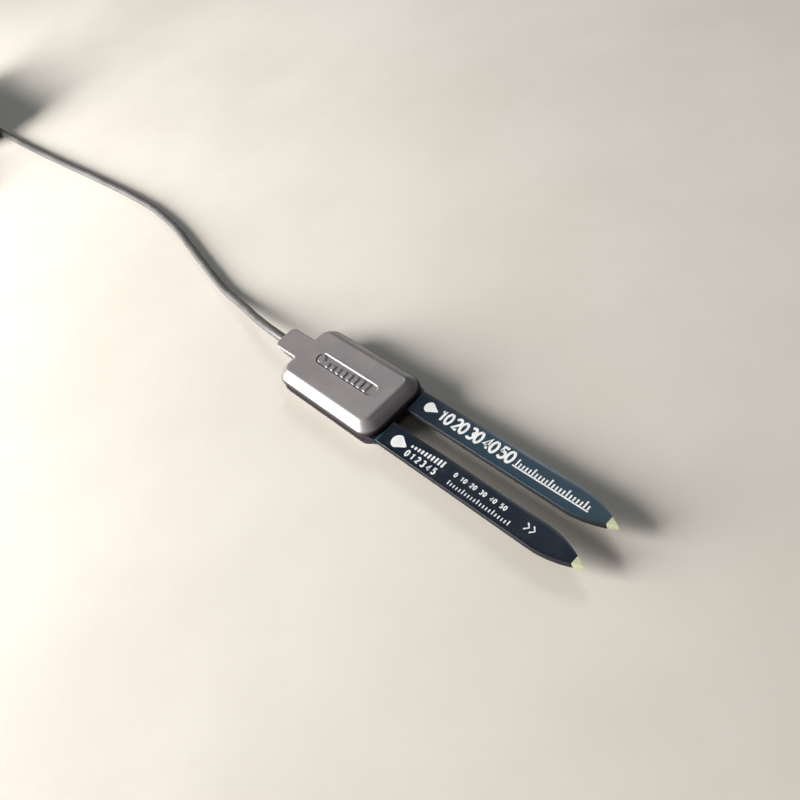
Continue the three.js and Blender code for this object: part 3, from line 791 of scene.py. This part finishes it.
# ---- Shader groups ------------------------------------------------------------------------------
class Nodes:
    """Short ways to add and link nodes in one tree."""

    def __init__(self, tree):
        self.tree = tree

    def add(self, kind, **values):
        """A node of this kind. Values that name an attribute set it, and the rest set inputs."""
        node = self.tree.nodes.new(kind)
        for key, value in values.items():
            if hasattr(node, key):
                setattr(node, key, value)
            else:
                self.feed(node.inputs[key.replace("_", " ")], value)
        return node

    def feed(self, socket, value):
        if isinstance(value, bpy.types.NodeSocket):
            self.tree.links.new(value, socket)
        else:
            socket.default_value = value

    def math(self, operation, *values):
        node = self.add("ShaderNodeMath", operation=operation)
        for socket, value in zip(node.inputs, values):
            self.feed(socket, value)
        return node.outputs[0]

    def mix(self, share, first, second):
        """The first colour at share 0 and the second at share 1."""
        node = self.add("ShaderNodeMix", data_type="RGBA")
        for key, value in (("Factor", share), (6, first), (7, second)):
            self.feed(node.inputs[key], value)
        return node.outputs[2]

    def step(self, value, low, high, start=0.0, end=1.0):
        """Smooth change from start to end as the value goes from low to high."""
        node = self.add("ShaderNodeMapRange", interpolation_type="SMOOTHSTEP")
        for socket, number in zip(node.inputs, (value, low, high, start, end)):
            self.feed(socket, number)
        return node.outputs[0]

    def noise(self, vector, scale, detail=2.0, roughness=0.5):
        node = self.add("ShaderNodeTexNoise", Vector=vector, Scale=scale, Detail=detail, Roughness=roughness)
        return node.outputs["Fac"]

    def wave(self, vector, scale, **values):
        return self.add("ShaderNodeTexWave", Vector=vector, Scale=scale, **values).outputs["Fac"]

    def moved(self, vector, **values):
        """The vector turned, stretched or moved by a Mapping node."""
        return self.add("ShaderNodeMapping", Vector=vector, **values).outputs[0]

    def split(self, vector):
        """The three axes of a vector, by name."""
        return self.add("ShaderNodeSeparateXYZ", Vector=vector).outputs

    def upward(self):
        """The upward part of the surface's own normal."""
        return self.split(self.add("ShaderNodeNewGeometry").outputs["Normal"])["Z"]


def new_group(name, inputs, outputs):
    """An empty shader group with named sockets; inputs are (name, default) and outputs (name, kind)."""
    tree = bpy.data.node_groups.new(name, "ShaderNodeTree")
    kinds = {float: "NodeSocketFloat", tuple: "NodeSocketVector"}
    for label, default in inputs:
        socket = tree.interface.new_socket(label, in_out="INPUT", socket_type=kinds[type(default)])
        socket.default_value = default
    for label, kind in outputs:
        tree.interface.new_socket(label, in_out="OUTPUT", socket_type=kind)
    nodes = Nodes(tree)
    return nodes, nodes.add("NodeGroupInput").outputs, nodes.add("NodeGroupOutput").inputs


def moulded_grain_group():
    """Fine pitted grain with broad, faint blotches: a shade, a roughness change and a height."""
    nodes, given, out = new_group(
        "moulded_grain", [("Vector", (0.0, 0.0, 0.0)), ("Grain Scale", 2600.0), ("Blotch Scale", 90.0)],
        [("Shade", "NodeSocketFloat"), ("Roughness", "NodeSocketFloat"), ("Height", "NodeSocketFloat")],
    )
    grain = nodes.noise(given["Vector"], given["Grain Scale"], 3.0, 0.65)
    blotch = nodes.noise(given["Vector"], given["Blotch Scale"], 4.0, 0.55)
    shade = nodes.math("ADD", nodes.math("MULTIPLY", grain, 0.35), nodes.math("MULTIPLY", blotch, 0.65))
    nodes.feed(out["Shade"], shade)
    nodes.feed(out["Roughness"], nodes.step(blotch, 0.3, 0.7, -0.05, 0.06))
    nodes.feed(out["Height"], grain)
    return nodes.tree


def dust_group():
    """Pale soil dust that lies in patches on what faces upwards: a mask."""
    nodes, given, out = new_group(
        "dust", [("Vector", (0.0, 0.0, 0.0)), ("Amount", 0.3), ("Scale", 260.0)],
        [("Mask", "NodeSocketFloat")],
    )
    patches = nodes.noise(given["Vector"], given["Scale"], 6.0, 0.7)
    lying = nodes.math("MULTIPLY", nodes.step(patches, 0.45, 0.75), nodes.step(nodes.upward(), 0.2, 0.9))
    nodes.feed(out["Mask"], nodes.math("MULTIPLY", lying, given["Amount"]))
    return nodes.tree


def scratch_group():
    """Thin scuffs: noise stretched along one way, cut to narrow lines, as a mask."""
    nodes, given, out = new_group(
        "scuffs", [("Vector", (0.0, 0.0, 0.0)), ("Amount", 0.5), ("Scale", 900.0)],
        [("Mask", "NodeSocketFloat")],
    )
    stretched = nodes.moved(given["Vector"], Rotation=(0, 0, 0.6), Scale=(0.06, 1, 1))
    line = nodes.math("ABSOLUTE", nodes.math("SUBTRACT", nodes.noise(stretched, given["Scale"], 1.0, 0.4), 0.5))
    where = nodes.step(nodes.noise(given["Vector"], 160.0, 2.0, 0.5), 0.5, 0.68)
    thin = nodes.math("MULTIPLY", nodes.step(line, 0.0, 0.012, 1.0, 0.0), where)
    nodes.feed(out["Mask"], nodes.math("MULTIPLY", thin, given["Amount"]))
    return nodes.tree


# ---- Materials ----------------------------------------------------------------------------------
GROUPS = {}


class Finish(Nodes):
    """A material with its Principled shader and a centred Object coordinate."""

    def __init__(self, name, centre=(0.0, 0.0, 0.0), **constants):
        self.material = bpy.data.materials.new(name)
        self.material.use_nodes = True
        super().__init__(self.material.node_tree)
        self.shader = self.tree.nodes["Principled BSDF"]
        for key, value in constants.items():
            self.shader.inputs[key.replace("_", " ")].default_value = value
        self.where = self.add("ShaderNodeTexCoord").outputs["Object"]
        self.place = self.moved(self.where, Location=tuple(-c for c in centre))

    def group(self, name, **values):
        node = self.add("ShaderNodeGroup", node_tree=GROUPS[name])
        for key, value in values.items():
            self.feed(node.inputs[key.replace("_", " ")], value)
        return node.outputs

    def bump(self, height, strength, distance):
        made = self.add("ShaderNodeBump", Height=height, Strength=strength, Distance=distance)
        self.feed(self.shader.inputs["Normal"], made.outputs[0])

    def set(self, socket, value):
        self.feed(self.shader.inputs[socket], value)


def varied(finish, dark, light, grain_scale, blotch_scale, roughness, bump, dust):
    """The common base of the moulded finishes: two shades through the grain, dust and a bump.

    Colours are the plain linear shades of the material, and dust is how much soil lies on it."""
    scales = {"Grain_Scale": grain_scale, "Blotch_Scale": blotch_scale}
    grain = finish.group("moulded_grain", Vector=finish.place, **scales)
    colour = finish.mix(finish.step(grain["Shade"], 0.3, 0.7), dark, light)
    lying = finish.group("dust", Vector=finish.place, Amount=dust)["Mask"]
    finish.set("Base Color", finish.mix(lying, colour, SOIL_DUST))
    rough = finish.math("ADD", grain["Roughness"], roughness)
    finish.set("Roughness", finish.math("ADD", rough, finish.math("MULTIPLY", lying, 0.4)))
    finish.bump(grain["Height"], bump, 0.00005)
    return finish


def shell_material():
    """Warm grey moulded plastic with a fine spark-eroded grain, a satin skin and painted shade on the rim band:
    the upright rim is painted dark.
    """
    centre = (-0.022, 0, ORIGIN[2] * MM)
    finish = Finish("grey_moulded_plastic", centre, Coat_Roughness=0.26, Specular_IOR_Level=0.55)
    varied(finish, (0.205, 0.188, 0.19, 1), (0.25, 0.23, 0.232, 1), 3200.0, 70.0, 0.36, 0.1, 0.08)
    height = finish.math("ABSOLUTE", finish.split(finish.place)["Z"])
    # Painted shade: the upright rim band below the bevels is painted a dark maroon that stands in for the shade
    # it lies in. It also loses its coat and is made rougher.
    rim = finish.step(height, RIM_HEIGHT * MM, (RIM_HEIGHT + 0.5) * MM, 1.0, 0.0)
    given = finish.shader.inputs
    grey, satin = (given[socket].links[0].from_socket for socket in ("Base Color", "Roughness"))
    finish.set("Base Color", finish.mix(rim, grey, (0.024, 0.014, 0.016, 1)))
    finish.set("Coat Weight", finish.step(rim, 0.0, 1.0, 0.45, 0.0))
    finish.set("Roughness", finish.math("MAXIMUM", satin, finish.math("MULTIPLY", rim, 0.85)))
    return finish.material


def board_material():
    """Navy solder mask over copper on both faces, milled edges painted near black as painted shade, and bare
    laminate at the tips.

    The copper is a wide stripe along each prong's middle. On the prong on the +Y side a painted reflection of
    the sky lightens the mask to a greyish blue away from the housing, and the thin teal line where the prongs
    leave the housing is a painted highlight."""
    centre = (0.01, 0, ORIGIN[2] * MM)
    finish = Finish("solder_mask_board", centre, Coat_Roughness=0.12, Specular_IOR_Level=0.3)
    axes = finish.split(finish.where)
    x = finish.math("ADD", axes["X"], -ORIGIN[0] * MM)
    aside = finish.math("SUBTRACT", finish.math("ABSOLUTE", axes["Y"]), PRONG_CENTRE * MM)
    from_middle = finish.math("ABSOLUTE", aside)
    grain = finish.group("moulded_grain", Vector=finish.place, Grain_Scale=1500.0, Blotch_Scale=60.0)
    shade = finish.step(grain["Shade"], 0.3, 0.7)
    mask = finish.mix(shade, (0.004, 0.007, 0.013, 1), (0.007, 0.012, 0.022, 1))
    copper = finish.step(from_middle, 0.00205, 0.00215, 1.0, 0.0)
    mask = finish.mix(finish.math("MULTIPLY", copper, 0.6), mask, (0.006, 0.014, 0.026, 1))
    # Painted reflection of the sky: the +Y prong's mask is lightened to a greyish blue from the housing towards
    # its point.
    painted_sky_reflection = finish.math("MULTIPLY", finish.step(axes["Y"], -0.001, 0.001), finish.step(x, 0.001, 0.022))
    mask = finish.mix(painted_sky_reflection, mask, (0.022, 0.046, 0.067, 1))
    # Painted highlight: a thin light teal band on the board just outside the housing, where the prongs leave
    # it.
    root = finish.math("MULTIPLY", finish.step(x, 0.0001, 0.0003), finish.step(x, 0.0005, 0.0008, 1.0, 0.0))
    mask = finish.mix(finish.math("MULTIPLY", root, 0.7), mask, (0.03, 0.09, 0.1, 1))
    face = finish.step(finish.math("ABSOLUTE", finish.upward()), 0.5, 0.8)
    finish.set("Coat Weight", finish.math("MULTIPLY", face, 0.15))
    weave = finish.wave(finish.place, 900.0, Distortion=1.5, Detail=2.0)
    laminate = finish.mix(weave, (0.42, 0.45, 0.26, 1), (0.6, 0.62, 0.42, 1))
    # Painted shade: the milled edges, the faces that point neither up nor down, are painted near black, though
    # the bare laminate is pale.
    painted_shade_edge = finish.mix(weave, (0.006, 0.006, 0.008, 1), (0.02, 0.02, 0.022, 1))
    bare = finish.step(x, MASK_END * MM, (MASK_END + 0.12) * MM)
    colour = finish.mix(bare, finish.mix(face, painted_shade_edge, mask), laminate)
    scuffs = finish.group("scuffs", Vector=finish.place, Amount=0.35, Scale=700.0)["Mask"]
    lying = finish.group("dust", Vector=finish.place, Amount=0.03, Scale=300.0)["Mask"]
    worn = finish.mix(scuffs, colour, (0.08, 0.1, 0.13, 1))
    finish.set("Base Color", finish.mix(lying, worn, SOIL_DUST))
    rough = finish.math("ADD", grain["Roughness"], 0.32)
    rough = finish.math("ADD", rough, finish.math("MULTIPLY", scuffs, 0.3))
    edge_roughness = finish.math("MULTIPLY", finish.math("SUBTRACT", 1.0, face), 0.55)
    finish.set("Roughness", finish.math("ADD", rough, edge_roughness))
    pits, traces = finish.math("MULTIPLY", grain["Height"], 0.15), finish.math("MULTIPLY", copper, 0.6)
    finish.bump(finish.math("ADD", pits, traces), 0.25, 0.00004)
    return finish.material


def ink_material():
    """White screen ink, a little thin in places."""
    finish = Finish("white_ink", Specular_IOR_Level=0.4)
    varied(finish, (0.68, 0.69, 0.68, 1), (0.86, 0.87, 0.86, 1), 2000.0, 500.0, 0.5, 0.2, 0.12)
    return finish.material


def cable_material():
    """Grey cable jacket: satin, faintly streaked, with a fine drawn grain."""
    finish = Finish("grey_cable_jacket", (-0.1, 0, 0.0), Coat_Weight=0.1, Coat_Roughness=0.35)
    varied(finish, (0.07, 0.069, 0.068, 1), (0.108, 0.106, 0.104, 1), 2400.0, 130.0, 0.45, 0.18, 0.12)
    return finish.material


def strap_material():
    """Black woven hook-and-loop tape: a cross of two fine waves over a fuzzy grain."""
    finish = Finish("woven_tape", (-0.227, -0.04, 0.01), Sheen_Weight=0.4, Sheen_Roughness=0.5)
    across = finish.moved(finish.place, Rotation=(0, 0, 0.35))
    warp = finish.wave(across, 700.0, Distortion=0.6, bands_direction="X")
    weft = finish.wave(across, 900.0, Distortion=0.6, bands_direction="Y")
    weave = finish.math("MAXIMUM", warp, weft)
    fuzz = finish.noise(finish.place, 3000.0, 4.0, 0.7)
    thread = finish.math("MULTIPLY", weave, fuzz)
    finish.set("Base Color", finish.mix(thread, (0.006, 0.006, 0.007, 1), (0.045, 0.045, 0.05, 1)))
    finish.set("Roughness", finish.step(fuzz, 0.2, 0.8, 0.75, 0.95))
    finish.bump(finish.math("ADD", weave, finish.math("MULTIPLY", fuzz, 0.6)), 0.6, 0.00012)
    return finish.material


def metal_material(name, dark, light, lines, roughness):
    """Turned or plated metal: fine rings or grain along X, faint tarnish in patches."""
    finish = Finish(name, (-0.15, -0.065, 0.0043), Metallic=1.0)
    rings = finish.wave(finish.place, lines, Distortion=0.4, Detail=2.0, bands_direction="X")
    tarnish = finish.noise(finish.place, 400.0, 5.0, 0.6)
    finish.set("Base Color", finish.mix(finish.step(tarnish, 0.35, 0.75), light, dark))
    dull = finish.step(tarnish, 0.3, 0.8, roughness, roughness + 0.15)
    finish.set("Roughness", finish.math("ADD", finish.math("MULTIPLY", rings, 0.08), dull))
    finish.bump(rings, 0.12, 0.00002)
    return finish.material


def plain_material(name, dark, light, roughness, grain=2200.0, bump=0.2):
    """A small part's finish: two close shades through the common grain."""
    return varied(Finish(name), dark, light, grain, 200.0, roughness, bump, 0.0).material


def floor_material():
    """Pale and matt, with very faint broad patches."""
    finish = Finish("pale_floor")
    shade = finish.step(finish.noise(finish.place, 14.0, 5.0, 0.6), 0.3, 0.7)
    fine = finish.noise(finish.place, 700.0, 3.0, 0.6)
    finish.set("Base Color", finish.mix(shade, (0.62, 0.58, 0.51, 1), (0.68, 0.64, 0.57, 1)))
    finish.set("Roughness", finish.step(fine, 0.3, 0.7, 0.75, 0.9))
    finish.bump(fine, 0.08, 0.0001)
    return finish.material


def dress_inner_nodes():
    """Finishes for the electronics, potting and wires, which keep their own shapes."""
    chip = plain_material("chip_moulding", (0.012, 0.012, 0.013, 1), (0.022, 0.022, 0.024, 1), 0.55)
    ceramic = plain_material("brown_ceramic", (0.36, 0.27, 0.17, 1), (0.46, 0.36, 0.24, 1), 0.5)
    resin = plain_material("black_resin", (0.008, 0.008, 0.009, 1), (0.014, 0.014, 0.015, 1), 0.25, 400.0, 0.1)
    glaze = plain_material("resistor_glaze", (0.014, 0.014, 0.02, 1), (0.03, 0.03, 0.038, 1), 0.35)
    yellow = plain_material("yellow_moulding", (0.5, 0.29, 0.05, 1), (0.6, 0.38, 0.09, 1), 0.5)
    steel = metal_material("drawn_steel", (0.45, 0.45, 0.44, 1), (0.62, 0.62, 0.6, 1), 1500.0, 0.25)
    solder = metal_material("solder", (0.4, 0.4, 0.4, 1), (0.6, 0.6, 0.6, 1), 600.0, 0.28)
    tinned = metal_material("tinned_wire", (0.42, 0.4, 0.37, 1), (0.58, 0.56, 0.52, 1), 2500.0, 0.32)
    white = plain_material("white_insulation", (0.72, 0.71, 0.68, 1), (0.8, 0.79, 0.77, 1), 0.42)
    red = plain_material("red_insulation", (0.38, 0.016, 0.012, 1), (0.48, 0.03, 0.02, 1), 0.42)
    by_node = {
        "potting": resin, "resistor": glaze, "tantalum": yellow, "capacitor": ceramic,
        "oscillator_base": ceramic, "oscillator_lid": steel, "solder": solder,
        "ground_conductor": tinned, "power_conductor": white, "signal_conductor": red,
    }
    for name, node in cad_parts.items():
        material = next((made for key, made in by_node.items() if key in name), chip)
        node.data.materials.clear()
        node.data.materials.append(material)


# ---- Stage --------------------------------------------------------------------------------------
def make_floor():
    """A square of four metres, a hair below the sensor."""
    mesh = bpy.data.meshes.new("floor")
    corners = [(x, y, -0.00002) for x, y in ((-2, -2), (2, -2), (2, 2), (-2, 2))]
    mesh.from_pydata(corners, [], [(0, 1, 2, 3)])
    mesh.materials.append(floor_material())
    floor = bpy.data.objects.new("floor", mesh)
    bpy.context.scene.collection.objects.link(floor)


def area_light(name, direction, distance, size, power, colour=(1, 1, 1)):
    """A square soft light that shines on the sensor's middle."""
    light = bpy.data.lights.new(name, "AREA")
    light.shape, light.size, light.energy, light.color = "SQUARE", size, power, colour
    lamp = bpy.data.objects.new(name, light)
    aim = Vector((-0.005, 0, 0))
    lamp.location = aim + Vector(direction).normalized() * distance
    lamp.rotation_euler = (aim - lamp.location).to_track_quat("-Z", "Y").to_euler()
    bpy.context.scene.collection.objects.link(lamp)


def make_lights():
    """A wide soft key light low on the near left, a weak cool one behind the tips, and a dim sky."""
    area_light("left_softbox", (-0.62, -0.72, 0.36), 0.6, 0.36, 11.0, (1.0, 0.975, 0.965))
    area_light("tip_softbox", (-0.42, 0.60, 0.69), 0.7, 0.2, 1.0, (0.86, 0.94, 1.0))
    world = bpy.data.worlds.new("pale_sky")
    world.use_nodes = True
    sky = world.node_tree.nodes["Background"]
    sky.inputs["Color"].default_value = (0.86, 0.88, 0.92, 1)
    sky.inputs["Strength"].default_value = 0.08
    bpy.context.scene.world = world
    bpy.context.scene.view_settings.view_transform = "Standard"


# ---- Everything ---------------------------------------------------------------------------------
def build():
    for name, make in (("moulded_grain", moulded_grain_group), ("dust", dust_group), ("scuffs", scratch_group)):
        GROUPS[name] = make()
    make_camera()
    body = plain_material("black_plug_moulding", (0.012, 0.012, 0.013, 1), (0.024, 0.024, 0.026, 1), 0.42)
    nickel = metal_material("bright_nickel", (0.55, 0.53, 0.49, 1), (0.74, 0.73, 0.7, 1), 1800.0, 0.16)
    washer = plain_material("black_washer", (0.01, 0.01, 0.01, 1), (0.018, 0.018, 0.018, 1), 0.4)
    plug = make_plug(body, nickel, washer)
    tie = make_tie(strap_material())
    make_cable(cable_material())
    grey = shell_material()
    make_upper_shell(grey)
    make_lower_shell(grey)
    make_board(board_material())
    make_print(ink_material())
    dress_inner_nodes()
    make_floor()
    make_lights()


build()
